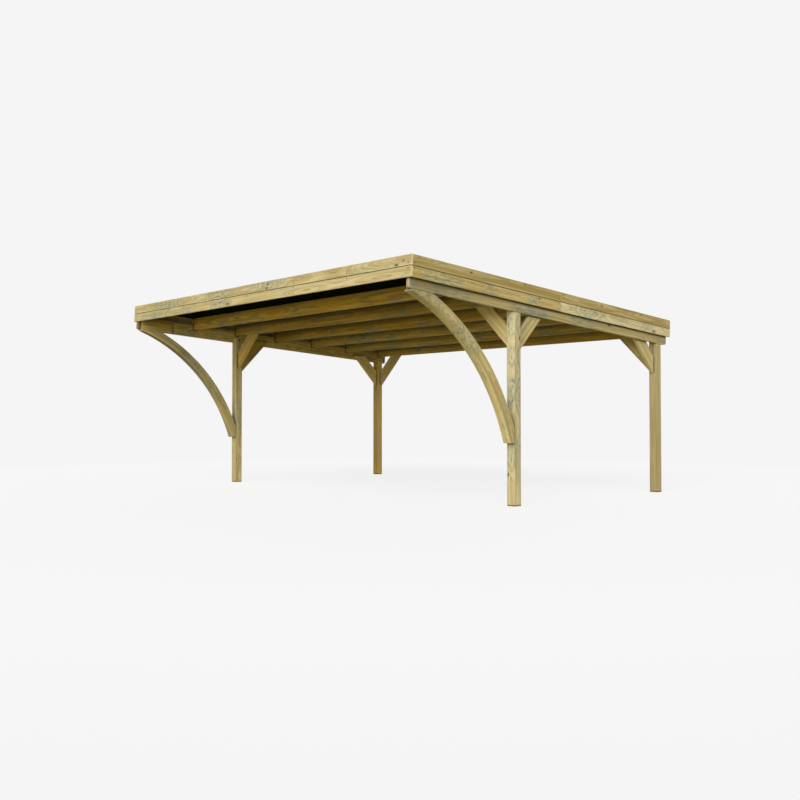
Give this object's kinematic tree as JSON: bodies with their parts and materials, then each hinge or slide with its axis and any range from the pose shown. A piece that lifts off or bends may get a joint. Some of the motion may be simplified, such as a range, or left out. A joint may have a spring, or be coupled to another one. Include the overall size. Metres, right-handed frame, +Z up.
{
  "type": "carport",
  "caption": "Open timber carport: square posts, knee braces, curved front braces, notched rafters on side beams, a boarded fascia and a shallow roof of dark ribbed sheets.",
  "frame": {"origin": "on the ground, at the middle of the plan", "axes": "+Z up; +X to the right across the bay, the longest side; the front with the curved braces faces -Y"},
  "size_m": [5.932, 5.0322, 2.684],
  "materials": {
    "frame_timber": "pressure-treated pine, planed, matt",
    "fascia_timber": "pressure-treated pine, planed, matt",
    "roof_sheet": "dark ribbed sheet, satin"
  },
  "bodies": {
    "root": {"post_front_left": "frame_timber", "post_front_right": "frame_timber", "post_back_left": "frame_timber", "post_back_right": "frame_timber", "side_beam_left": "frame_timber", "side_beam_right": "frame_timber", "rafter_1": "frame_timber", "rafter_2": "frame_timber", "rafter_3": "frame_timber", "rafter_4": "frame_timber", "rafter_5": "frame_timber", "rafter_6": "frame_timber", "curved_brace_left": "frame_timber", "curved_brace_right": "frame_timber", "brace_block_left": "frame_timber", "brace_block_right": "frame_timber", "cross_brace_front_left": "frame_timber", "cross_brace_front_right": "frame_timber", "cross_brace_back_left": "frame_timber", "cross_brace_back_right": "frame_timber", "side_brace_front_left": "frame_timber", "side_brace_front_right": "frame_timber", "side_brace_back_left": "frame_timber", "side_brace_back_right": "frame_timber", "front_cleats": "frame_timber", "front_fascia_upper": "fascia_timber", "front_fascia_lower": "fascia_timber", "eaves_board": "fascia_timber", "left_fascia_upper_front": "fascia_timber", "left_fascia_upper_back": "fascia_timber", "left_fascia_lower_front": "fascia_timber", "left_fascia_lower_back": "fascia_timber", "right_fascia_upper_front": "fascia_timber", "right_fascia_upper_back": "fascia_timber", "right_fascia_lower_front": "fascia_timber", "right_fascia_lower_back": "fascia_timber", "roof_sheet_1": "roof_sheet", "roof_sheet_2": "roof_sheet", "roof_sheet_3": "roof_sheet", "roof_sheet_4": "roof_sheet", "roof_sheet_5": "roof_sheet", "roof_sheet_6": "roof_sheet"}
  },
  "joints": []
}
